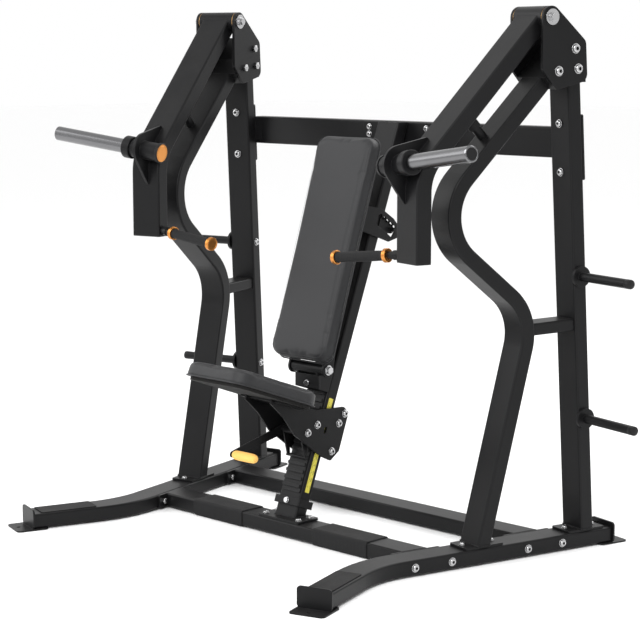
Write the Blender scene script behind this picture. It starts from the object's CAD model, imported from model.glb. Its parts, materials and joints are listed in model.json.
import json
import math

import bmesh
import bpy
import numpy as np
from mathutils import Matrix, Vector


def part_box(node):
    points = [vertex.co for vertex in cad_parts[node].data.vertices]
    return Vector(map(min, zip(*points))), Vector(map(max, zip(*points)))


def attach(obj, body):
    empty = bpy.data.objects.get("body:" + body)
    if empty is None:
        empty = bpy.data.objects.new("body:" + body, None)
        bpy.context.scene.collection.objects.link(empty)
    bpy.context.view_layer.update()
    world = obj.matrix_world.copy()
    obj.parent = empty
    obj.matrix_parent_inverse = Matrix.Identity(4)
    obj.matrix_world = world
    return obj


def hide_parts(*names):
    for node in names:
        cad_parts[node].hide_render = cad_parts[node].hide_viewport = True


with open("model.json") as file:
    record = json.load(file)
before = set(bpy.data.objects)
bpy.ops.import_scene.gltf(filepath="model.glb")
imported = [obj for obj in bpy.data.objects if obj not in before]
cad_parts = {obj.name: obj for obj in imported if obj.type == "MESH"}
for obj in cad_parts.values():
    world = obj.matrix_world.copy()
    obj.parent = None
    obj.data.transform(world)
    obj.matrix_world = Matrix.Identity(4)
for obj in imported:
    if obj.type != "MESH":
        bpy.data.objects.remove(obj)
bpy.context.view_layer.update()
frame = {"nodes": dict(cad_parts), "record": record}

scene = bpy.context.scene
print("stage: frame loaded,", len(frame["nodes"]), "nodes")

# ---------- camera, first so that everything is judged from it ----------
cameraSettings = {
    "place": (4.442, -4.392, 1.625), "yaw": 44.65, "down": 8.19, "lens": 105.65, "shiftX": -0.002,
    "shiftY": 0.0
}


def placeCamera(c):
    data = bpy.data.cameras.new("camera")
    data.lens = c["lens"]
    data.sensor_width = 36.0
    data.shift_x = c["shiftX"]
    data.shift_y = c["shiftY"]
    data.clip_end = 60.0
    camera = bpy.data.objects.new("camera", data)
    camera.location = c["place"]
    camera.rotation_euler = (math.radians(90 - c["down"]), 0.0, math.radians(c["yaw"]))
    scene.collection.objects.link(camera)
    scene.camera = camera


placeCamera(cameraSettings)

# ---------- the side frame's own directions, the same on both sides but mirrored ----------
sideSettings = {
    "toe": 14.0, "x": 0.663, "y": 0.041, "leanRear": 3.48, "rearFoot": 0.496, "railTop": 0.055
}
toeAngle = math.radians(sideSettings["toe"])
alongDir = np.array([math.sin(toeAngle), math.cos(toeAngle), 0.0])
outDir = np.array([math.cos(toeAngle), -math.sin(toeAngle), 0.0])
upDir = np.array([0.0, 0.0, 1.0])
acrossDir = np.array([1.0, 0.0, 0.0])
mirrorX = np.array([-1.0, 1.0, 1.0])


def sideSpot(s, z, n=0.0):
    # origin of the frame, plus s along it, plus n outwards, plus the height
    return np.array([sideSettings["x"], sideSettings["y"], 0.0]) + alongDir * s + outDir * n + upDir * z


def rearMiddle(z):
    # the rear upright leans back by a fixed angle from its foot
    return sideSettings["rearFoot"] - (z - sideSettings["railTop"]) * math.tan(
        math.radians(sideSettings["leanRear"])
    )


# ---------- surfaces ----------
def gridFaces(countU, countV, closedU, closedV):
    # each quad joins a point to its neighbours one step along u and one step along v
    i = np.arange(countU if closedU else countU - 1)
    j = np.arange(countV if closedV else countV - 1)
    a, b = np.meshgrid(i, j, indexing="ij")
    an, bn = (a + 1) % countU, (b + 1) % countV
    quads = np.stack([a * countV + b, an * countV + b, an * countV + bn, a * countV + bn], axis=-1)
    return quads.reshape(-1, 4)


def unit(v):
    v = np.asarray(v, float)
    return v / np.linalg.norm(v)


def crossAxes(direction):
    # two directions square to the given one and to each other
    d = unit(direction)
    helper = upDir if abs(d[2]) < 0.8 else acrossDir
    first = unit(np.cross(helper, d))
    return first, np.cross(d, first)


def turned(profile, at, direction, count=40, hexRows=()):
    # point = at + height * direction + radius * (cos t * first + sin t * second);
    # on the hexagon rows the radius shrinks to a six-sided outline: r * cos 30 / cos(t mod 60 - 30)
    profile = np.asarray(profile, float)
    t = np.arange(count) * 2 * math.pi / count
    radius = np.repeat(profile[:, :1], count, axis=1)
    if len(hexRows):
        six = math.cos(math.pi / 6) / np.cos(np.mod(t, math.pi / 3) - math.pi / 6)
        radius[list(hexRows)] = radius[list(hexRows)] * six
    first, second = crossAxes(direction)
    ring = np.cos(t)[:, None] * first + np.sin(t)[:, None] * second
    points = np.asarray(at, float) + profile[:, 1][
        :, None, None
    ] * unit(direction) + radius[..., None] * ring
    return points.reshape(-1, 3), gridFaces(len(profile), count, False, True)


def tube(path, radius, count=10, closed=True, ripple=0.0, pitch=0.0):
    # a circle carried along the path: point = path + r * (cos t * side + sin t * lift), where r swells
    # by the ripple once in every pitch of length, as a weld bead or a twisted cord does
    path = np.asarray(path, float)
    if closed:
        ahead = np.roll(path, -1, 0) - np.roll(path, 1, 0)
    else:
        ahead = np.gradient(path, axis=0)
    ahead /= np.linalg.norm(ahead, axis=1, keepdims=True)
    steps = np.linalg.norm(np.diff(path, axis=0, prepend=path[:1]), axis=1).cumsum()
    centre = path.mean(0)
    lift = np.cross(ahead, path - centre)
    lift /= np.linalg.norm(lift, axis=1, keepdims=True) + 1e-12
    sideways = np.cross(lift, ahead)
    swell = radius * np.ones(len(path))
    if pitch:
        swell = radius * (1 + ripple * np.abs(np.sin(math.pi * steps / pitch)))
    t = np.arange(count) * 2 * math.pi / count
    ring = np.cos(t)[None, :, None] * sideways[:, None] + np.sin(t)[None, :, None] * lift[:, None]
    points = path[:, None] + swell[:, None, None] * ring
    return points.reshape(-1, 3), gridFaces(len(path), count, closed, True)


def together(parts):
    # several surfaces as one: the faces of each are counted on from the points before it
    points, faces, seen = [], [], 0
    for p, f in parts:
        points.append(p)
        faces.append(np.asarray(f) + seen)
        seen += len(p)
    return np.concatenate(points), np.concatenate(faces)


def bothSides(parts):
    # every surface, and the same surface with its x turned over
    return parts + [(p * mirrorX, f[:, ::-1]) for p, f in parts]


def makePiece(name, surface, finish, body, stands=(), sharp=38.0, riding=True):
    # the points are already where they belong, so the object stays at the origin
    points, faces = surface
    data = bpy.data.meshes.new(name)
    data.from_pydata(points.tolist(), [], faces.tolist())
    weld = bmesh.new()
    weld.from_mesh(data)
    bmesh.ops.remove_doubles(weld, verts=weld.verts, dist=2e-6)
    bmesh.ops.dissolve_degenerate(weld, dist=1e-7, edges=weld.edges)
    bmesh.ops.recalc_face_normals(weld, faces=weld.faces)
    weld.to_mesh(data)
    weld.free()
    data.polygons.foreach_set("use_smooth", np.ones(len(data.polygons), bool))
    data.set_sharp_from_angle(angle=math.radians(sharp))
    data.materials.append(finish)
    piece = bpy.data.objects.new(name, data)
    scene.collection.objects.link(piece)
    if riding:
        settle(piece, body, stands)
    return piece


def settle(piece, body, stands=()):
    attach(piece, body)
    if stands:
        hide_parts(*stands)


# ---------- shader building ----------
def addNode(tree, kind, **values):
    # capitalised keys are sockets, the rest are the node's own settings
    node = tree.nodes.new(kind)
    for key, value in values.items():
        if key[0].isupper():
            node.inputs[key.replace("_", " ")].default_value = value
        else:
            setattr(node, key, value)
    return node


def join(tree, source, target):
    tree.links.new(source, target)


def sums(tree, operation, a, b=0.5, clamp=False):
    node = tree.nodes.new("ShaderNodeMath")
    node.operation = operation
    node.use_clamp = clamp
    for socket, value in zip(node.inputs, (a, b)):
        if isinstance(value, (int, float)):
            socket.default_value = value
        else:
            join(tree, value, socket)
    return node.outputs[0]


def blendColor(tree, factor, a, b):
    node = tree.nodes.new("ShaderNodeMix")
    node.data_type = "RGBA"
    for socket, value in zip((node.inputs[0], node.inputs[6], node.inputs[7]), (factor, a, b)):
        if isinstance(value, (tuple, float, int)):
            socket.default_value = value
        else:
            join(tree, value, socket)
    return node.outputs[2]


def newGroup(name, inputs, outputs):
    group = bpy.data.node_groups.new(name, "ShaderNodeTree")
    for label, kind, value in inputs:
        socket = group.interface.new_socket(label, in_out="INPUT", socket_type=kind)
        if value is not None:
            socket.default_value = value
    for label, kind in outputs:
        group.interface.new_socket(label, in_out="OUTPUT", socket_type=kind)
    return group, group.nodes.new("NodeGroupInput").outputs, group.nodes.new("NodeGroupOutput").inputs


def useGroup(tree, group, **values):
    node = tree.nodes.new("ShaderNodeGroup")
    node.node_tree = group
    for key, value in values.items():
        socket = node.inputs[key.replace("_", " ")]
        if isinstance(value, (int, float, tuple)):
            socket.default_value = value
        else:
            join(tree, value, socket)
    return node.outputs


floatKind, vectorKind = "NodeSocketFloat", "NodeSocketVector"


def buildEdgeWear():
    # where a rounded normal differs from the flat one there is an edge; noise breaks it up
    group, given, out = newGroup(
        "edgeWear",
        [("Place", vectorKind, None), ("Radius", floatKind, 0.0015), ("Amount", floatKind, 0.5)],
        [("Mask", floatKind), ("Normal", vectorKind)],
    )
    rounded = addNode(group, "ShaderNodeBevel", samples=6)
    join(group, given["Radius"], rounded.inputs["Radius"])
    flat = addNode(group, "ShaderNodeNewGeometry")
    likeness = addNode(group, "ShaderNodeVectorMath", operation="DOT_PRODUCT")
    join(group, rounded.outputs[0], likeness.inputs[0])
    join(group, flat.outputs["Normal"], likeness.inputs[1])
    edge = sums(group, "MULTIPLY", sums(group, "SUBTRACT", 1.0, likeness.outputs["Value"]), 7.0, True)
    chips = addNode(group, "ShaderNodeTexNoise", Scale=65.0, Detail=5.0, Roughness=0.65)
    join(group, given["Place"], chips.inputs["Vector"])
    broken = addNode(group, "ShaderNodeMapRange", From_Min=0.48, From_Max=0.68)
    join(group, chips.outputs[0], broken.inputs[0])
    worn = sums(group, "MULTIPLY", edge, broken.outputs[0])
    join(group, sums(group, "MULTIPLY", worn, given["Amount"]), out["Mask"])
    join(group, rounded.outputs[0], out["Normal"])
    return group


def buildDust():
    # settles on faces that look up, thicker in soft patches
    group, given, out = newGroup(
        "dustFilm", [("Place", vectorKind, None), ("Amount", floatKind, 0.3)], [("Mask", floatKind)]
    )
    flat = addNode(group, "ShaderNodeNewGeometry")
    parts = addNode(group, "ShaderNodeSeparateXYZ")
    join(group, flat.outputs["Normal"], parts.inputs[0])
    upward = addNode(group, "ShaderNodeMapRange", From_Min=0.55, From_Max=1.0)
    join(group, parts.outputs[2], upward.inputs[0])
    patches = addNode(group, "ShaderNodeTexNoise", Scale=9.0, Detail=6.0, Roughness=0.6)
    join(group, given["Place"], patches.inputs["Vector"])
    soft = addNode(group, "ShaderNodeMapRange", From_Min=0.3, From_Max=0.75)
    join(group, patches.outputs[0], soft.inputs[0])
    mask = sums(group, "MULTIPLY", upward.outputs[0], soft.outputs[0])
    join(group, sums(group, "MULTIPLY", mask, given["Amount"]), out["Mask"])
    return group


def buildPeel():
    # the pebbled skin of powder coat and moulded plastic: small cells over slower swells
    group, given, out = newGroup(
        "coatPeel",
        [("Place", vectorKind, None), ("Scale", floatKind, 700.0)],
        [("Height", floatKind), ("Tone", floatKind)],
    )
    fine = addNode(group, "ShaderNodeTexNoise", Detail=2.0, Roughness=0.5)
    join(group, given["Place"], fine.inputs["Vector"])
    join(group, given["Scale"], fine.inputs["Scale"])
    slow = addNode(group, "ShaderNodeTexNoise", Scale=5.0, Detail=4.0, Roughness=0.55)
    join(group, given["Place"], slow.inputs["Vector"])
    join(group, fine.outputs[0], out["Height"])
    join(group, slow.outputs[0], out["Tone"])
    return group


def buildHairlines():
    # fine polish and rub marks: noise drawn out a long way along one direction
    group, given, out = newGroup(
        "hairlines",
        [("Place", vectorKind, None), ("Stretch", vectorKind, (60.0, 60.0, 900.0))],
        [("Height", floatKind)],
    )
    drawn = addNode(group, "ShaderNodeVectorMath", operation="MULTIPLY")
    join(group, given["Place"], drawn.inputs[0])
    join(group, given["Stretch"], drawn.inputs[1])
    marks = addNode(group, "ShaderNodeTexNoise", Scale=1.0, Detail=3.0, Roughness=0.6)
    join(group, drawn.outputs[0], marks.inputs["Vector"])
    join(group, marks.outputs[0], out["Height"])
    return group


edgeWear, dustFilm, coatPeel, hairlines = buildEdgeWear(), buildDust(), buildPeel(), buildHairlines()


def startFinish(name, look):
    finish = bpy.data.materials.new(name)
    finish.use_nodes = True
    finish.diffuse_color = look["color"]
    tree = finish.node_tree
    shader = tree.nodes["Principled BSDF"]
    shader.inputs["Metallic"].default_value = look.get("metallic", 0.0)
    for key, value in look.get("shader", {}).items():
        shader.inputs[key].default_value = value
    place = addNode(tree, "ShaderNodeTexCoord").outputs["Object"]
    return finish, tree, shader, place


def makeFinish(name, look):
    # base colour, slow tone change, dust on top, wear on the edges, peel in the bump
    finish, tree, shader, place = startFinish(name, look)
    peel = useGroup(tree, coatPeel, Place=place, Scale=look["peelScale"])
    edge = useGroup(tree, edgeWear, Place=place, Radius=look["bevel"], Amount=look["wear"])
    color = blendColor(tree, peel["Tone"], look["color"], look["tone"])
    height = peel["Height"]
    if "lines" in look:
        rubbed = useGroup(tree, hairlines, Place=place, Stretch=look["lines"])["Height"]
        height = sums(tree, "ADD", sums(tree, "MULTIPLY", peel["Height"], 0.4), rubbed)
        rough = sums(
            tree, "ADD", look["rough"] - look["roughVary"] / 2, sums(tree, "MULTIPLY", rubbed,
            look["roughVary"])
        )
    else:
        rough = sums(
            tree, "ADD", look["rough"] - look["roughVary"] / 2, sums(tree, "MULTIPLY", peel["Tone"],
            look["roughVary"])
        )
    if look.get("dust"):
        film = useGroup(tree, dustFilm, Place=place, Amount=look["dust"])["Mask"]
        color = blendColor(tree, film, color, look["dustColor"])
        rough = sums(tree, "ADD", rough, sums(tree, "MULTIPLY", film, 0.5), True)
    color = blendColor(tree, edge["Mask"], color, look["wearColor"])
    bump = addNode(tree, "ShaderNodeBump", Strength=look["bump"], Distance=0.0006)
    join(tree, height, bump.inputs["Height"])
    join(tree, edge["Normal"], bump.inputs["Normal"])
    join(tree, color, shader.inputs["Base Color"])
    join(tree, rough, shader.inputs["Roughness"])
    join(tree, bump.outputs[0], shader.inputs["Normal"])
    return finish


dustGrey = (0.32, 0.31, 0.30, 1)
looks = {
    "blackSteel": {
        "color": (0.0042, 0.0042, 0.0046, 1), "tone": (0.0072, 0.0072, 0.0077, 1), "rough": 0.38,
        "roughVary": 0.14, "peelScale": 620.0, "bump": 0.2, "bevel": 0.0022, "wear": 0.3,
        "wearColor": (0.055, 0.055, 0.057, 1), "dust": 0.045, "dustColor": dustGrey,
        "shader": {"Specular IOR Level": 0.17}
    },
    "chromePlate": {
        "color": (0.42, 0.42, 0.43, 1), "tone": (0.52, 0.52, 0.52, 1), "metallic": 1.0, "rough": 0.2,
        "roughVary": 0.12, "peelScale": 300.0, "bump": 0.05, "bevel": 0.0012, "wear": 0.3,
        "wearColor": (0.62, 0.62, 0.62, 1), "lines": (70.0, 900.0, 900.0)
    },
    "bronzeBush": {
        "color": (0.3, 0.18, 0.08, 1), "tone": (0.42, 0.27, 0.13, 1), "metallic": 1.0, "rough": 0.36,
        "roughVary": 0.2, "peelScale": 900.0, "bump": 0.12, "bevel": 0.001, "wear": 0.2,
        "wearColor": (0.6, 0.44, 0.26, 1), "lines": (800.0, 80.0, 80.0)
    },
    "orangeAnodised": {
        "color": (0.56, 0.21, 0.045, 1), "tone": (0.68, 0.3, 0.08, 1), "metallic": 1.0, "rough": 0.3,
        "roughVary": 0.14, "peelScale": 1200.0, "bump": 0.08, "bevel": 0.0012, "wear": 0.5,
        "wearColor": (0.85, 0.5, 0.24, 1), "lines": (90.0, 900.0, 900.0)
    },
    "blackRubber": {
        "color": (0.0065, 0.0065, 0.007, 1), "tone": (0.012, 0.012, 0.0125, 1), "rough": 0.7,
        "roughVary": 0.18, "peelScale": 1100.0, "bump": 0.4, "bevel": 0.0015, "wear": 0.25,
        "wearColor": (0.04, 0.04, 0.04, 1), "dust": 0.07, "dustColor": dustGrey,
        "shader": {"Specular IOR Level": 0.22}
    },
    "darkPlastic": {
        "color": (0.006, 0.006, 0.0065, 1), "tone": (0.011, 0.011, 0.0115, 1), "rough": 0.44,
        "roughVary": 0.16, "peelScale": 1400.0, "bump": 0.3, "bevel": 0.0012, "wear": 0.25,
        "wearColor": (0.045, 0.045, 0.045, 1), "dust": 0.04, "dustColor": dustGrey,
        "shader": {"Specular IOR Level": 0.2}
    },
    "paintedBoard": {
        "color": (0.006, 0.0058, 0.0055, 1), "tone": (0.012, 0.0115, 0.011, 1), "rough": 0.7,
        "roughVary": 0.2, "peelScale": 260.0, "bump": 0.5, "bevel": 0.001, "wear": 0.3,
        "wearColor": (0.11, 0.075, 0.045, 1), "lines": (30.0, 400.0, 60.0),
        "shader": {"Specular IOR Level": 0.2}
    },
    "hornSteel": {
        "color": (0.13, 0.13, 0.135, 1), "tone": (0.2, 0.2, 0.205, 1), "metallic": 1.0, "rough": 0.24,
        "roughVary": 0.14, "peelScale": 240.0, "bump": 0.06, "bevel": 0.0015, "wear": 0.5,
        "wearColor": (0.45, 0.45, 0.45, 1), "lines": (500.0, 500.0, 60.0)
    },
    "stickerYellow": {
        "color": (0.6, 0.53, 0.05, 1), "tone": (0.7, 0.62, 0.08, 1), "rough": 0.42, "roughVary": 0.12,
        "peelScale": 800.0, "bump": 0.06, "bevel": 0.0004, "wear": 0.3, "wearColor": (0.8, 0.78, 0.5, 1)
    },
    "foamYellow": {
        "color": (0.82, 0.42, 0.08, 1), "tone": (0.9, 0.53, 0.15, 1), "rough": 0.78, "roughVary": 0.16,
        "peelScale": 1500.0, "bump": 0.55, "bevel": 0.002, "wear": 0.15, "wearColor": (0.95, 0.75, 0.4,
        1), "shader": {"Subsurface Weight": 0.1}
    },
    "inkBlack": {
        "color": (0.012, 0.012, 0.012, 1), "tone": (0.02, 0.02, 0.02, 1), "rough": 0.5, "roughVary": 0.1,
        "peelScale": 900.0, "bump": 0.05, "bevel": 0.0003, "wear": 0.1, "wearColor": (0.1, 0.1, 0.1, 1)
    },
}
finishes = {name: makeFinish(name, look) for name, look in looks.items()}

vinylLook = {
    "color": (0.0155, 0.0158, 0.017, 1), "tone": (0.023, 0.0234, 0.025, 1), "crease": (0.008, 0.008,
    0.0088, 1), "cells": 520.0, "rough": 0.42, "shader": {"Specular IOR Level": 0.3, "Sheen Weight": 0.03,
    "Sheen Roughness": 0.5}
}


def makeVinyl(name, look):
    # upholstery vinyl: pebble cells with creases between them, and a little smoother on top of each cell
    finish, tree, shader, place = startFinish(name, look)
    bent = addNode(tree, "ShaderNodeTexNoise", Scale=60.0, Detail=2.0)
    join(tree, place, bent.inputs["Vector"])
    shifted = addNode(tree, "ShaderNodeVectorMath", operation="MULTIPLY_ADD")
    join(tree, bent.outputs["Color"], shifted.inputs[0])
    shifted.inputs[1].default_value = (0.004, 0.004, 0.004)
    join(tree, place, shifted.inputs[2])
    cells = addNode(tree, "ShaderNodeTexVoronoi", feature="DISTANCE_TO_EDGE", Scale=look["cells"])
    join(tree, shifted.outputs[0], cells.inputs["Vector"])
    pebble = addNode(
        tree, "ShaderNodeMapRange", interpolation_type="SMOOTHSTEP", From_Min=0.0, From_Max=0.22
    )
    join(tree, cells.outputs["Distance"], pebble.inputs[0])
    peel = useGroup(tree, coatPeel, Place=place, Scale=1600.0)
    color = blendColor(tree, peel["Tone"], look["color"], look["tone"])
    creased = blendColor(tree, pebble.outputs[0], look["crease"], color)
    shade = blendColor(tree, 0.35, color, creased)
    film = useGroup(tree, dustFilm, Place=place, Amount=0.04)["Mask"]
    shade = blendColor(tree, film, shade, dustGrey)
    rough = sums(tree, "SUBTRACT", look["rough"] + 0.08, sums(tree, "MULTIPLY", pebble.outputs[0], 0.1))
    height = sums(tree, "ADD", pebble.outputs[0], sums(tree, "MULTIPLY", peel["Height"], 0.3))
    bump = addNode(tree, "ShaderNodeBump", Strength=0.3, Distance=0.0004)
    join(tree, height, bump.inputs["Height"])
    join(tree, shade, shader.inputs["Base Color"])
    join(tree, rough, shader.inputs["Roughness"])
    join(tree, bump.outputs[0], shader.inputs["Normal"])
    return finish


vinyl = makeVinyl("padVinyl", vinylLook)
threadLook = {
    "color": (0.03, 0.03, 0.032, 1), "tone": (0.045, 0.045, 0.047, 1), "rough": 0.6, "roughVary": 0.1,
    "peelScale": 3000.0, "bump": 0.4, "bevel": 0.0003, "wear": 0.1, "wearColor": (0.1, 0.1, 0.1, 1)
}
thread = makeFinish("seamThread", threadLook)

slotFinish = {
    "black_steel": "blackSteel", "chrome": "chromePlate", "bronze": "bronzeBush",
    "orange_metal": "orangeAnodised", "rubber": "blackRubber", "dark_plastic": "darkPlastic",
    "board": "paintedBoard", "yellow_foam": "foamYellow", "yellow_label": "stickerYellow"
}
nodeFinish = {"right_weight_horn": "hornSteel", "left_weight_horn": "hornSteel"}
for row in frame["record"]["subparts"]:
    slots = frame["nodes"][row["node"]].data.materials
    slots.clear()
    chosen = nodeFinish.get(row["node"], slotFinish.get(row["material_slot"]))
    slots.append(finishes[chosen] if chosen else vinyl)
print("stage: finishes made")

# ---------- pads ----------
seatPad = {
    "node": "seat_pad", "body": "seat", "half": (0.150, 0.195), "corner": 0.055, "thick": 0.048,
    "tilt": 19.6, "voxel": 0.005, "cap": 0.006, "shrink": 0.004, "pressure": 4.0
}
backPad = {
    "node": "back_pad", "body": "back", "half": (0.1375, 0.395), "corner": 0.046, "thick": 0.046,
    "tilt": 18.2, "voxel": 0.0055, "cap": 0.006, "shrink": 0.004, "pressure": 4.0
}
seatTilt, backTilt = math.radians(seatPad["tilt"]), math.radians(backPad["tilt"])
seatPad["long"] = np.array([0, -math.cos(seatTilt), math.sin(seatTilt)])
seatPad["face"] = np.array([0, math.sin(seatTilt), math.cos(seatTilt)])
backPad["long"] = np.array([0, math.sin(backTilt), math.cos(backTilt)])
backPad["face"] = np.array([0, -math.cos(backTilt), math.sin(backTilt)])
for pad in (seatPad, backPad):
    low, high = (np.array(v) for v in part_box(pad["node"]))
    pad["wide"] = np.cross(pad["long"], pad["face"])
    pad["centre"] = (low + high) / 2
    pad["centre"][0] = 0.0


def roundOutline(halfA, halfB, corner, count):
    # a rectangle with round corners, walked at an even pace: straight runs, then quarter circles
    corner = min(corner, halfA, halfB)
    centres = [
        (halfA - corner, halfB - corner, 0), (corner - halfA, halfB - corner, 90), (corner - halfA,
        corner - halfB, 180), (halfA - corner, corner - halfB, 270)
    ]
    turn = np.radians(np.linspace(0, 90, 25))
    rough = np.concatenate(
        [np.stack([x + corner * np.cos(turn + math.radians(a)),
        y + corner * np.sin(turn + math.radians(a))], 1) for x, y, a in centres]
    )
    rough = np.concatenate([rough, rough[:1]])
    walk = np.concatenate([[0], np.linalg.norm(np.diff(rough, axis=0), axis=1).cumsum()])
    even = np.linspace(0, walk[-1], count, endpoint=False)
    return np.stack([np.interp(even, walk, rough[:, k]) for k in (0, 1)], 1)


def padSurface(p, count=200):
    # point = centre + k * outline + height * face, where (k, height) runs from the middle of the underside,
    # out to the edge, round it, and back over a low crown to the middle of the face
    halfA, halfB = p["half"][0] - p["shrink"], p["half"][1] - p["shrink"]
    thick, lip = p["thick"] - p["shrink"], 0.012
    outline = roundOutline(halfA, halfB, p["corner"], count)
    waist = 1 - 0.018 * (
        1 - (outline[:, 1] / halfB) ** 2
    )  # the long sides pull in a little between the corners
    outline = outline * np.stack([waist, 1 - 0.008 * (1 - (outline[:, 0] / halfA) ** 2)], 1)
    away = np.linalg.norm(outline, axis=1)
    turn = np.radians(np.linspace(0, 90, 9))
    inner = np.linspace(0, 1, 14)[1:]
    rows = [(0.0, 0.0, -thick / 2)] + [(k, 0.0, -thick / 2) for k in inner]
    rows += [(1.0, 0.0, -thick / 2 + h) for h in np.linspace(0, thick - lip, 6)[1:]]
    rows += [(1.0, -lip * (1 - math.cos(t)), thick / 2 - lip + lip * math.sin(t)) for t in turn[1:]]
    rows += [
        (k, -lip * k, thick / 2 + 0.003 * (1 - k * k)) for k in inner[::-1][1:]
    ] + [(0.0, 0.0, thick / 2 + 0.003)]
    rows = np.array(rows)
    scale = rows[:, 0][:, None] + rows[:, 1][:, None] / away[None, :]
    flat = outline[None] * scale[..., None]
    points = p["centre"] + flat[..., :1] * p["wide"] + flat[..., 1:] * p["long"] + rows[:, 2][
        :, None, None
    ] * p["face"]
    return points.reshape(-1, 3), gridFaces(len(rows), count, False, True)


def edgeDistance(flat, halfA, halfB, corner):
    # distance inwards from the outline of a rectangle with round corners
    q = np.abs(flat) - (np.array([halfA, halfB]) - corner)
    return corner - (np.linalg.norm(np.maximum(q, 0), axis=1) + np.minimum(q.max(1), 0))


clothSettings = {"tension": 25, "compression": 25, "bending": 3, "quality": 5, "frames": 20}


def puffPad(piece, p):
    # cloth with air pressure inside swells the shape; each point then moves at most the cap,
    # and less and less towards the underside, which is stapled to its board
    scene.frame_set(1)
    remesh = piece.modifiers.new("remesh", "REMESH")
    remesh.mode = "VOXEL"
    remesh.voxel_size = p["voxel"]
    dg = bpy.context.evaluated_depsgraph_get()
    fresh = bpy.data.meshes.new_from_object(piece.evaluated_get(dg))
    piece.modifiers.clear()
    piece.data = fresh
    count = len(fresh.vertices)
    before = np.zeros(count * 3)
    fresh.vertices.foreach_get("co", before)
    before = before.reshape(-1, 3)
    cloth = piece.modifiers.new("cloth", "CLOTH")
    cloth.settings.use_pressure = True
    cloth.settings.uniform_pressure_force = p["pressure"]
    cloth.settings.tension_stiffness = clothSettings["tension"]
    cloth.settings.compression_stiffness = clothSettings["compression"]
    cloth.settings.bending_stiffness = clothSettings["bending"]
    cloth.settings.effector_weights.gravity = 0
    cloth.settings.quality = clothSettings["quality"]
    cloth.point_cache.frame_end = clothSettings["frames"]
    for step in range(1, clothSettings["frames"] + 1):
        scene.frame_set(step)
    dg = bpy.context.evaluated_depsgraph_get()
    puffed = bpy.data.meshes.new_from_object(piece.evaluated_get(dg))
    after = np.zeros(count * 3)
    puffed.vertices.foreach_get("co", after)
    move = after.reshape(-1, 3) - before
    size = np.linalg.norm(move, axis=1, keepdims=True)
    lifted = np.clip(((before - p["centre"]) @ p["face"]) / p["thick"] + 0.5, 0, 1)
    move *= np.minimum(1.0, p["cap"] / np.maximum(size, 1e-9)) * lifted[:, None]
    piece.modifiers.clear()
    scene.frame_set(1)
    return before + move


sewSettings = {
    "seam": 0.017, "seamWide": 0.0028, "seamDeep": 0.0022,
    "border": 0.0105, "borderWide": 0.004, "borderHigh": 0.0011,
    "faceFrom": 0.2, "crown": 0.004, "overhang": 0.002,
}


def sewPad(piece, p, points):
    # on the face, a sewn line runs inside the edge: height drops by a narrow dip, and the border beyond
    # it stands up a touch; each is a bell curve of the distance from the outline. The underside and the
    # sides are held inside the space of the board and the outline
    s = sewSettings
    local = points - p["centre"]
    flat = np.stack([local @ p["wide"], local @ p["long"]], 1)
    height = local @ p["face"]
    halfA, halfB = p["half"]
    inside = edgeDistance(flat, halfA, halfB, p["corner"])
    onFace = np.clip((height - s["faceFrom"] * p["thick"]) / (s["faceFrom"] * p["thick"]), 0, 1)
    dip = np.exp(-(((inside - s["seam"]) / s["seamWide"]) ** 2))
    border = np.exp(-(((inside - s["border"]) / s["borderWide"]) ** 2))
    height = height + onFace * (-s["seamDeep"] * dip + s["borderHigh"] * border)
    height = np.clip(height, -p["thick"] / 2, p["thick"] / 2 + s["crown"])
    over = np.maximum(0, -inside - s["overhang"])
    pull = flat / np.maximum(np.linalg.norm(flat, axis=1, keepdims=True), 1e-6)
    flat = flat - pull * over[:, None]
    moved = p["centre"] + flat[:, :1] * p["wide"] + flat[:, 1:] * p["long"] + height[:, None] * p["face"]
    piece.data.vertices.foreach_set("co", moved.ravel())
    piece.data.update()


def makePad(name, p):
    piece = makePiece(name, padSurface(p), vinyl, p["body"], riding=False)
    points = puffPad(piece, p)
    sewPad(piece, p, points)
    piece.data.materials.clear()
    piece.data.materials.append(vinyl)
    piece.data.polygons.foreach_set("use_smooth", np.ones(len(piece.data.polygons), bool))
    finer = piece.modifiers.new("finer", "SUBSURF")
    finer.levels = finer.render_levels = 1
    settle(piece, p["body"], [p["node"]])
    print("stage:", name, len(piece.data.vertices), "points")
    return piece


def padLoop(p, inset, height, count):
    # the pad's outline moved inwards, at one height over its middle plane
    halfA, halfB = p["half"][0] - inset, p["half"][1] - inset
    flat = roundOutline(halfA, halfB, max(p["corner"] - inset, 0.005), count)
    return p["centre"] + flat[:, :1] * p["wide"] + flat[:, 1:] * p["long"] + height * p["face"]


stitchSettings = {"inset": 0.017, "pitch": 0.0062, "long": 0.0040, "thick": 0.00055}


def padStitches(name, p, height):
    # every stitch is a small six-sided spindle lying along the seam: two pointed ends and two rings between
    s = stitchSettings
    length = 4 * (p["half"][0] + p["half"][1]) - 8 * s["inset"]
    count = int(length / s["pitch"])
    loop = padLoop(p, s["inset"], height, count)
    ahead = np.roll(loop, -1, 0) - loop
    ahead /= np.linalg.norm(ahead, axis=1, keepdims=True)
    aside = np.cross(ahead, p["face"])
    steps = np.array([-0.5, -0.36, 0.36, 0.5]) * s["long"]
    fat = np.array([0.02, 1.0, 1.0, 0.02]) * s["thick"]
    t = np.arange(6) * math.pi / 3
    ring = np.cos(t)[None, :, None] * aside[:, None] + np.sin(t)[None, :, None] * p["face"][None, None]
    points = loop[:, None, None] + steps[
        None, :, None, None
    ] * ahead[:, None, None] + fat[None, :, None, None] * ring[:, None]
    one = gridFaces(4, 6, False, True)
    faces = (one[None] + (np.arange(count) * 24)[:, None, None]).reshape(-1, 4)
    return makePiece(name, (points.reshape(-1, 3), faces), thread, p["body"])


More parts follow.
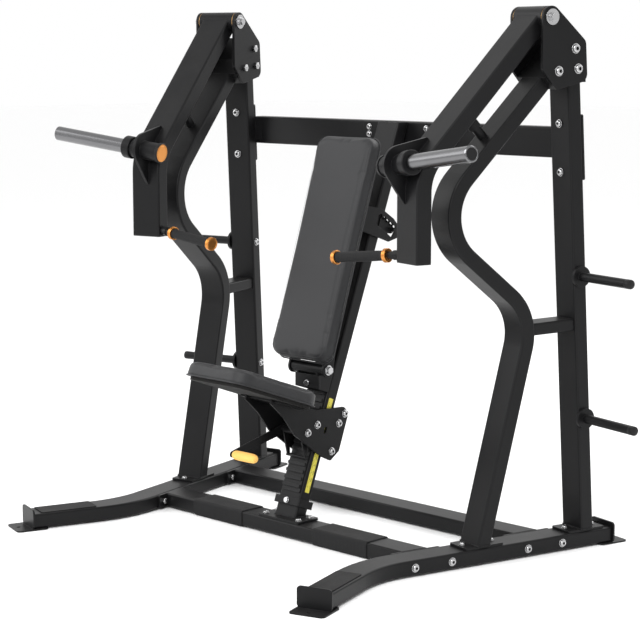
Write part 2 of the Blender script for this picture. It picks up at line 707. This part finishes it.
makePad("seatCushion", seatPad)
makePad("backCushion", backPad)
for pad, label in ((seatPad, "seat"), (backPad, "back")):
    padStitches(label + "Stitches", pad, pad["thick"] / 2 + 0.0006)
    welt = tube(padLoop(pad, pad["shrink"] + 0.0006, -pad["thick"] / 2 + 0.004, 260), 0.0022, 8)
    makePiece(label + "Welt", welt, vinyl, pad["body"])
print("stage: pads done")

# ---------- fasteners ----------
boltShape = {
    "washer": 1.15, "washerThick": 0.002, "head": 0.95, "headHigh": 0.55, "socket": 0.42, "nut": 0.95,
    "nutHigh": 0.8
}


def boltSurface(at, inward, length, size, nut=True):
    # turned profile from the far end of the thread to the floor of the hexagon socket, as (radius, height)
    b = boltShape
    t, h = b["washerThick"], b["headHigh"] * size
    if nut:
        n0, n1 = -length - b["nutHigh"] * size, -length
        rows = [
            (0, n0 - 0.001), (0.42 * size, n0 - 0.001), (0.5 * size, n0), (0.84 * size, n0),
            (b["nut"] * size, n0 + 0.0012), (b["nut"] * size, n1 - 0.0008), (0.84 * size, n1),
            (0.5 * size, n1)
        ]
        hexRows = [3, 4, 5, 6]
    else:
        rows = [(0, -length), (0.45 * size, -length), (0.5 * size, -length + 0.0006)]
        hexRows = []
    w, r = b["washer"] * size, b["head"] * size
    rows += [(0.5 * size, 0), (w - 0.0003, 0), (w, 0.0004), (w, t - 0.0005), (w - 0.0005, t)]
    rows += [
        (r, t), (r, t + 0.3 * h), (0.96 * r, t + 0.58 * h), (0.86 * r, t + 0.82 * h), (0.7 * r,
        t + 0.97 * h), (0.56 * r, t + h)
    ]
    hexRows += [len(rows), len(rows) + 1]
    rows += [(b["socket"] * r * 1.12, t + h), (b["socket"] * r, t + 0.35 * h), (0, t + 0.3 * h)]
    return turned(rows, at, -np.asarray(inward), 36, hexRows)


def socketSurface(at, inward, length, size, nut=True):
    # the dark lining of the hexagon socket, a cup just inside its walls, and the ring under the head
    b = boltShape
    t, h, r = b["washerThick"], b["headHigh"] * size, b["head"] * size
    cup = [
        (0.985 * b["socket"] * r, t + 0.9 * h), (0.97 * b["socket"] * r, t + 0.38 * h), (0, t + 0.34 * h)
    ]
    ring = [(1.001 * r, t + 0.0001), (1.012 * r, t + 0.0009), (1.001 * r, t + 0.0017)]
    return together(
        [turned(cup, at, -np.asarray(inward), 36, [0, 1]), turned(ring, at, -np.asarray(inward), 36)]
    )


def boltPieces(name, bolts, body, stands, mirrored=True):
    # every bolt is given as (place, inward direction, length, size) and perhaps whether it has a nut
    heads, linings = [boltSurface(*bolt) for bolt in bolts], [socketSurface(*bolt) for bolt in bolts]
    if mirrored:
        heads, linings = bothSides(heads), bothSides(linings)
    makePiece(name, together(heads), finishes["chromePlate"], body, [stands])
    makePiece(name + "Sockets", together(linings), finishes["blackRubber"], body)


memberMid = (-0.118, 0.322)
railBoltS = [s + k * 0.070 for s in memberMid for k in (-1, 1)]
uprightBoltS = (0.027, 0.137, 0.441, 0.551)
railTop, railMid, plateT = 0.055, 0.030, 0.008
barBoltZ = (1.237, 1.392)
pegZ = (0.436, 0.903)
railBolts = [(sideSpot(s, railMid, 0.05), -outDir, 0.108, 0.012) for s in railBoltS]
boltPieces("railBoltSet", railBolts, "frame", "rail_bolts")
footBolts = [(sideSpot(s, railTop + plateT), -upDir, plateT + 0.003, 0.010) for s in uprightBoltS]
boltPieces("footBoltSet", footBolts, "frame", "foot_bolts")
uprightBolts = [(sideSpot(rearMiddle(z) - 0.027, z), alongDir, 0.064, 0.012) for z in barBoltZ]
uprightBolts += [(sideSpot(rearMiddle(z), z, -0.05), outDir, 0.099, 0.012, False) for z in pegZ]
boltPieces("uprightBoltSet", uprightBolts, "frame", "upright_bolts")
plateBolts = [(0.316, 1.559), (0.393, 1.566), (0.381, 1.629)]
headBolts = [(sideSpot(s, z, 0.084), -outDir, 0.168, 0.014) for s, z in plateBolts]
boltPieces("headBoltSet", headBolts, "frame", "head_bolts")

postSettings = {"foot": (0.0, -0.045, 0.063), "lean": 21.1, "half": 0.05, "face": 0.025}
postFoot = np.array(postSettings["foot"])
postLean = math.radians(postSettings["lean"])
postDir = np.array([0, math.sin(postLean), math.cos(postLean)])
postFront = np.array([0, -math.cos(postLean), math.sin(postLean)])


def postSpot(z, ahead, x=0.0):
    # a point at height z on the leaning post, so far ahead of its middle line
    return postFoot + postDir * (z - postFoot[2]) / postDir[2] + postFront * ahead + acrossDir * x


plateSpots = [(0.382, -0.0494), (0.290, -0.0494), (0.355, 0.051)]
carriageBolts = [(postSpot(z, a, 0.065), -acrossDir, 0.130, 0.012) for z, a in plateSpots]
carriageBolts += [
    (np.array([0.065, y, z]), -acrossDir, 0.130, 0.012) for y, z in ((-0.025, 0.352), (0.153, 0.394))
]
boltPieces("carriageBoltSet", carriageBolts, "seat", "carriage_bolts", False)
postBolts = [(np.array([0.078, -0.0559 + k * 0.028, 0.063]), -upDir, 0.011, 0.010) for k in (-1, 1)]
postBolts += [
    (np.array([0.134, 0.483, z]), np.array([0.0, 1.0, 0.0]), 0.013, 0.010) for z in (1.356, 1.330)
]
boltPieces("postBoltSet", postBolts, "frame", "post_bolts")
print("stage: fasteners done")

# ---------- handle grips, foam lever grip ----------
handleSettings = {
    "root": (-0.173, 0.998, -0.057), "tip": (-0.255, 0.970, -0.321), "from": 0.068, "long": 0.196,
    "radius": 0.018, "bore": 0.0126, "groovePitch": 0.0065, "grooveWide": 0.0011, "grooveDeep": 0.0008,
    "lip": 0.004, "lipWide": 0.0035, "lipHigh": 0.0021,
}


def handleGrip():
    # rubber sleeve: radius = base + shallow swell in the middle, cut by rings of small grooves,
    # with a lip at each end
    h = handleSettings
    root = sideSpot(h["root"][0], h["root"][1], h["root"][2])
    tip = sideSpot(h["tip"][0], h["tip"][1], h["tip"][2])
    direction = unit(tip - root)
    along = np.linspace(0, 1, 241)
    z = along * h["long"]
    pitch = h["groovePitch"]
    radius = h["radius"] - 0.0022 + 0.0012 * np.sin(math.pi * along)
    groove = np.exp(
        -(((np.mod(z, pitch) - pitch / 2) / h["grooveWide"]) ** 2)
    ) * (np.abs(along - 0.5) < 0.44)
    lip = np.exp(-((z - h["lip"]) / h["lipWide"]) ** 2) + np.exp(
        -((z - h["long"] + h["lip"]) / h["lipWide"]) ** 2
    )
    radius = radius - h["grooveDeep"] * groove + h["lipHigh"] * lip
    rows = [(h["bore"], 0.0)] + list(zip(radius, z)) + [(h["bore"], h["long"])]
    return turned(rows, root + direction * h["from"], direction, 48)


gripPoints, gripFaces = handleGrip()
makePiece(
    "rightGrip", (gripPoints, gripFaces), finishes["blackRubber"], "right_arm",
    ["right_handle_grip"], sharp=50
)
makePiece(
    "leftGrip", (gripPoints * mirrorX, gripFaces[:, ::-1]), finishes["blackRubber"], "left_arm",
    ["left_handle_grip"], sharp=50
)

leverSettings = {"centre": (0.008, -0.261, 0.298), "half": 0.056, "radius": 0.016}


def leverFoam(c):
    # foam barrel: radius follows a flattened ellipse along the grip, so both ends are round
    u = np.linspace(-1, 1, 61)
    radius = c["radius"] * (1 - np.abs(u) ** 7) ** 0.42
    rows = list(zip(np.maximum(radius, 0.0), u * c["half"]))
    rows[0], rows[-1] = (0.0, -c["half"]), (0.0, c["half"])
    return turned(rows, c["centre"], acrossDir, 40)


makePiece(
    "leverFoam", leverFoam(leverSettings), finishes["foamYellow"], "lever", ["lever_grip"]
)

trimSettings = {"horn": (-0.217, 1.288, 0.046), "hornTilt": 7.5, "bossFrom": -0.080}
hornTilt = math.radians(trimSettings["hornTilt"])
hornDir = outDir * math.cos(hornTilt) + upDir * math.sin(hornTilt)
hornAt = sideSpot(trimSettings["horn"][0], trimSettings["horn"][1], trimSettings["horn"][2])
bossStart = hornAt + hornDir * (trimSettings["bossFrom"] - trimSettings["horn"][2])
handleRoot = sideSpot(*handleSettings["root"])
handleDir = unit(sideSpot(*handleSettings["tip"]) - handleRoot)


def handleTrim():
    # a ring with a shallow band round it, and an end cap with a dished face,
    # as (radius, height) along the bar
    ring = [
        (0.0126, 0.054), (0.0213, 0.054), (0.0225, 0.0552), (0.0225, 0.0586), (0.0214, 0.0596), (0.0214,
        0.0624), (0.0225, 0.0634), (0.0225, 0.0668), (0.0213, 0.068), (0.0126, 0.068)
    ]
    cap = [
        (0.0, 0.264), (0.0212, 0.264), (0.023, 0.2658), (0.023, 0.2752), (0.0222, 0.2772), (0.0205,
        0.278), (0.0178, 0.278), (0.0170, 0.2771), (0.0, 0.2768)
    ]
    return [turned(ring, handleRoot, handleDir, 56), turned(cap, handleRoot, handleDir, 56)]


def bossFace():
    # the orange disc in the end of the boss, with one turned groove near its rim
    rows = [
        (0.0, 0.002), (0.0306, 0.002), (0.0306, 0.0098), (0.0300, 0.0105), (0.0285, 0.0107), (0.0268,
        0.0107), (0.0262, 0.0100), (0.0250, 0.0100), (0.0244, 0.0107), (0.0, 0.0109)
    ]
    return turned(rows, bossStart, -hornDir, 64)


def bossRim():
    # the black bezel round that disc
    rows = [
        (0.0308, 0.0), (0.0345, 0.0), (0.035, 0.0006), (0.035, 0.0078), (0.0342, 0.0098), (0.0325,
        0.0108), (0.0312, 0.0106), (0.0308, 0.0098)
    ]
    return turned(rows, bossStart, -hornDir, 64)


orangeParts, rimParts = handleTrim() + [bossFace()], [bossRim()]


def armTrim(side, turn, step):
    # the parts are those of the right arm; turn flips their x and step the order of each face's corners
    orange, rim = ([(p * turn, f[:, ::step]) for p, f in group] for group in (orangeParts, rimParts))
    body = side + "_arm"
    makePiece(
        side + "Trim", together(orange), finishes["orangeAnodised"], body,
        [side + "_orange_trim"]
    )
    makePiece(side + "Bezel", together(rim), finishes["darkPlastic"], body)


armTrim("right", np.ones(3), 1)
armTrim("left", mirrorX, -1)

# ---------- height scale and weld beads ----------
scaleSettings = {
    "low": 0.105, "pitch": 0.025, "count": 12, "middle": 0.002, "stroke": 0.0011, "edge": -0.0075,
    "longTick": -0.0015, "shortTick": -0.0048, "digitAt": 0.0015, "digitHigh": 0.0095, "digitWide": 0.0055,
    "proud": 0.0002,
}
# the seven strokes of a digit in a unit box, as (u0, v0, u1, v1), and which of them each digit 0-9 has
segmentRows = [
    (0, 1, 1, 1), (1, 1, 1, 0.5), (1, 0.5, 1, 0), (0, 0, 1, 0), (0, 0, 0, 0.5), (0, 0.5, 0, 1), (0, 0.5,
    1, 0.5)
]
segmentSets = ["012345", "12", "01643", "01623", "5612", "05623", "054326", "012", "0123456", "560123"]


def bars(strokes, wide):
    # each stroke from (u0, v0) to (u1, v1) becomes a flat bar, half a width to either side of it,
    # and stands a little proud of the sticker
    strokes = np.asarray(strokes, float)
    start, stop = strokes[:, :2], strokes[:, 2:]
    ahead = (stop - start) / np.linalg.norm(stop - start, axis=1, keepdims=True)
    aside = np.stack([-ahead[:, 1], ahead[:, 0]], 1)
    reach = ahead * wide / 2
    corners = np.stack(
        [start - reach + aside * wide / 2, start - reach - aside * wide / 2,
        stop + reach - aside * wide / 2, stop + reach + aside * wide / 2], 1
    )
    places = corners.reshape(-1, 2)
    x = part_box("height_scale")[1][0] + scaleSettings["proud"]
    points = postFoot * np.array(
        [0, 1, 1]
    ) - postFront * places[:, :1] + postDir * places[:, 1:] + np.array([x, 0, 0])
    return points, np.arange(len(points)).reshape(-1, 4)


def scaleMarks(c):
    # a long tick and a digit at every step, four short ticks between
    strokes = []
    for n in range(c["count"]):
        v = c["low"] + n * c["pitch"]
        strokes.append((c["edge"], v, c["longTick"], v))
        for k in range(1, 5):
            between = v + c["pitch"] * k / 5
            strokes.append((c["edge"], between, c["shortTick"], between))
        for k in segmentSets[(n + 1) % 10]:
            a = segmentRows[int(k)]
            u0, u1 = c["digitAt"] + a[0] * c["digitWide"], c["digitAt"] + a[2] * c["digitWide"]
            strokes.append((u0, v + (a[1] - 0.5) * c["digitHigh"], u1, v + (a[3] - 0.5) * c["digitHigh"]))
    return bars(np.array(strokes) - np.array([c["middle"], 0, c["middle"], 0]), c["stroke"])


makePiece("scaleMarks", scaleMarks(scaleSettings), finishes["inkBlack"], "frame")


def weldLoop(centre, first, second, halfA, halfB):
    # a bead round the foot of a tube: its path is the tube's outline on the plate
    flat = roundOutline(halfA, halfB, 0.007, 220)
    path = np.asarray(centre) + flat[:, :1] * first + flat[:, 1:] * second
    return tube(path, 0.0027, 8, True, 0.22, 0.0042)


# where the front upright's middle line starts, how it leans, and half of each tube along the rail
footSettings = {
    "start": 0.067, "startZ": 0.025, "slope": 0.2572, "frontHalf": 0.0258, "rearHalf": 0.0251,
    "wideHalf": 0.050, "postHalf": 0.0268, "lift": 0.0006,
}
plateTop = railTop + plateT + footSettings["lift"]
frontFoot = footSettings["start"] + (plateTop - footSettings["startZ"]) * footSettings["slope"]
footS = [(frontFoot, footSettings["frontHalf"]), (rearMiddle(plateTop), footSettings["rearHalf"])]
footBeads = [
    weldLoop(sideSpot(s, plateTop), alongDir, outDir, half, footSettings["wideHalf"]) for s, half in footS
]
postBead = weldLoop(
    (0.0, postFoot[1], plateTop), acrossDir, np.array([0, 1.0, 0]),
    footSettings["wideHalf"], footSettings["postHalf"]
)
makePiece(
    "footWelds", together(bothSides(footBeads) + [postBead]), finishes["blackSteel"], "frame",
)
print("stage: trims, scale and welds done")

# ---------- rubber on the base: sleeves with ribs, mats with ridges, peg ends ----------
sleeveSettings = {
    "from": 0.170, "to": 0.418, "centre": (0.0, -0.0599, 0.030), "half": (0.054, 0.029), "corner": 0.011,
    "ribPitch": 0.0062, "rib": 0.0006
}


def ribbedSleeve(c):
    # the round-cornered outline of the sleeve carried along x; it swells by |sin| once in each rib pitch
    # and is rolled in at both ends
    outline = roundOutline(c["half"][0], c["half"][1], c["corner"], 180)
    span = c["to"] - c["from"]
    x = np.linspace(0, span, 321)
    rib = c["rib"] * np.abs(np.sin(math.pi * x / c["ribPitch"])) - c["rib"]
    ends = -0.0022 * (np.exp(-x / 0.0012) + np.exp(-(span - x) / 0.0012))
    grow = 1 + (rib + ends)[:, None] / np.linalg.norm(outline, axis=1)[None]
    flat = outline[None] * grow[..., None]
    points = np.zeros((len(x), len(outline), 3))
    points[..., 0] = c["from"] + x[:, None]
    points[..., 1] = c["centre"][1] + flat[..., 0]
    points[..., 2] = c["centre"][2] + flat[..., 1]
    return points.reshape(-1, 3), gridFaces(len(x), len(outline), False, True)


makePiece(
    "sleeveRubber", together(bothSides([ribbedSleeve(sleeveSettings)])), finishes["blackRubber"], "frame",
    ["grip_sleeves"], sharp=60
)
pegCaps = [
    turned([(0.0149, -0.022), (0.0152, -0.0215), (0.0152, -0.004), (0.0146, -0.0012), (0.0128, 0.0), (0.0,
    0.0004)], sideSpot(rearMiddle(z), z, 0.050 + 0.250), outDir, 40) for z in pegZ
]
makePiece("pegCaps", together(bothSides(pegCaps)), finishes["darkPlastic"], "frame")
print("stage: rubber done")

# ---------- floor and light ----------
stageSettings = {
    "floor": (0.985, 0.985, 0.985, 1), "half": 40.0, "rough": 0.8, "world": 1.0, "aim": (0, 0, 0.8),
    "lamps": [
        ("keyLight", (2.2, -4.5, 4.6), 260.0, 3.5),
        ("fillLight", (-4.5, -3.0, 3.5), 110.0, 4.0),
        ("backLight", (0.5, 4.5, 4.0), 110.0, 4.0),
    ],
}


def makeFloor(c):
    paint = bpy.data.materials.new("paleFloor")
    paint.use_nodes = True
    shader = paint.node_tree.nodes["Principled BSDF"]
    shader.inputs["Base Color"].default_value = c["floor"]
    shader.inputs["Roughness"].default_value = c["rough"]
    corners = np.array([[-1, -1, 0], [1, -1, 0], [1, 1, 0], [-1, 1, 0]]) * c["half"]
    ground = makePiece("floor", (corners, np.array([[0, 1, 2, 3]])), paint, None, riding=False)


def makeLights(c):
    world = bpy.data.worlds.new("studio")
    world.use_nodes = True
    world.node_tree.nodes["Background"].inputs[0].default_value = (1, 1, 1, 1)
    world.node_tree.nodes["Background"].inputs[1].default_value = c["world"]
    scene.world = world
    for name, place, power, size in c["lamps"]:
        lamp = bpy.data.lights.new(name, "AREA")
        lamp.energy = power
        lamp.size = size
        light = bpy.data.objects.new(name, lamp)
        light.location = place
        light.rotation_euler = (Vector(c["aim"]) - Vector(place)).to_track_quat("-Z", "Y").to_euler()
        scene.collection.objects.link(light)


makeFloor(stageSettings)
makeLights(stageSettings)
scene.view_settings.view_transform = "Standard"
print("stage: floor and light done")
